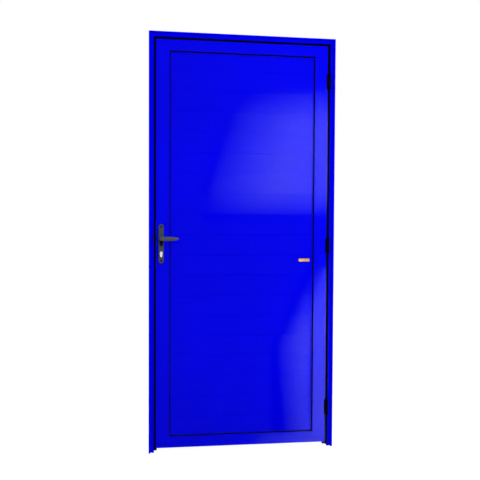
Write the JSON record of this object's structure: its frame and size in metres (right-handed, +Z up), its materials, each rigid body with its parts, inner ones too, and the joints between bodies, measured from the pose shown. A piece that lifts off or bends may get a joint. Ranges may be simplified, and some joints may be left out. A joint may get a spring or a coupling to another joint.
{
  "type": "aluminium slatted door",
  "caption": "Blue aluminium door leaf with a panel of horizontal slats, in a three-sided frame with barrel hinges, lever handle and lock.",
  "frame": {"origin": "on the floor at the lower ends of the jambs, midway between them and midway through the leaf's thickness", "axes": "+X to the right seen from the front, +Y from the front into the doorway, +Z up along the jambs"},
  "size_m": [0.92, 0.136, 2.04],
  "materials": {
    "blue_paint": "gloss blue powder coat",
    "seal_rubber": "matte black",
    "black_metal": "satin black",
    "zinc_steel": "zinc plated",
    "handle_grey": "satin dark grey",
    "cylinder_nickel": "satin nickel",
    "brass": "polished brass",
    "bare_aluminium": "mill finish"
  },
  "bodies": {
    "frame": {"jamb_left": "blue_paint", "jamb_right": "blue_paint", "head": "blue_paint", "frame_cleats": "bare_aluminium", "frame_seal": "seal_rubber", "keeper": "black_metal", "hinge_frame_bottom": "black_metal", "hinge_frame_middle": "black_metal", "hinge_frame_top": "black_metal"},
    "leaf": {"stile_left": "blue_paint", "stile_right": "blue_paint", "rail_bottom": "blue_paint", "rail_top": "blue_paint", "rail_connectors": "bare_aluminium", "slat_01": "blue_paint", "slat_02": "blue_paint", "slat_03": "blue_paint", "slat_04": "blue_paint", "slat_05": "blue_paint", "slat_06": "blue_paint", "slat_07": "blue_paint", "slat_08": "blue_paint", "slat_09": "blue_paint", "slat_10": "blue_paint", "slat_11": "blue_paint", "slat_12": "blue_paint", "slat_13": "blue_paint", "slat_14": "blue_paint", "slat_15": "blue_paint", "slat_16": "blue_paint", "slat_17": "blue_paint", "slat_18": "blue_paint", "slat_19": "blue_paint", "gasket_front": "seal_rubber", "gasket_back": "seal_rubber", "bead_left": "blue_paint", "bead_right": "blue_paint", "bead_top": "blue_paint", "bead_bottom": "blue_paint", "hinge_leaf_bottom": "black_metal", "hinge_leaf_middle": "black_metal", "hinge_leaf_top": "black_metal", "lock_case": "zinc_steel", "cylinder_body": "cylinder_nickel", "plate_front": "handle_grey", "plate_back": "handle_grey", "brass_plate": "brass"},
    "lever": {"lever_front": "handle_grey", "lever_back": "handle_grey", "spindle": "zinc_steel"},
    "latch": {"latch_bolt": "zinc_steel"},
    "bolt": {"dead_bolt": "zinc_steel"},
    "key_plug": {"cylinder_plug": "cylinder_nickel"}
  },
  "joints": [
    {"name": "leaf_hinge", "type": "hinge", "parent": "frame", "child": "leaf", "pos_m": [0.43, -0.0245, 0], "axis": [0, 0, 1], "range_deg": [0, 110]},
    {"name": "lever_turn", "type": "hinge", "parent": "leaf", "child": "lever", "pos_m": [-0.4, 0, 1.048], "axis": [0, 1, 0], "range_deg": [0, 40], "stiffness_Nm_per_rad": 1, "springref_deg": -20.05},
    {"name": "latch_slide", "type": "slide", "parent": "leaf", "child": "latch", "axis": [1, 0, 0], "range_m": [0, 0.01]},
    {"name": "key_turn", "type": "hinge", "parent": "leaf", "child": "key_plug", "pos_m": [-0.4, 0, 0.976], "axis": [0, 1, 0], "range_deg": [0, 366]},
    {"name": "bolt_slide", "type": "slide", "parent": "leaf", "child": "bolt", "axis": [-1, 0, 0], "range_m": [0, 0.018]}
  ],
  "couplings": [
    {"joint": "latch_slide", "follows": "lever_turn", "m_per_rad": 0.01432},
    {"joint": "key_turn", "follows": "bolt_slide", "rad_per_m": 349.06}
  ]
}
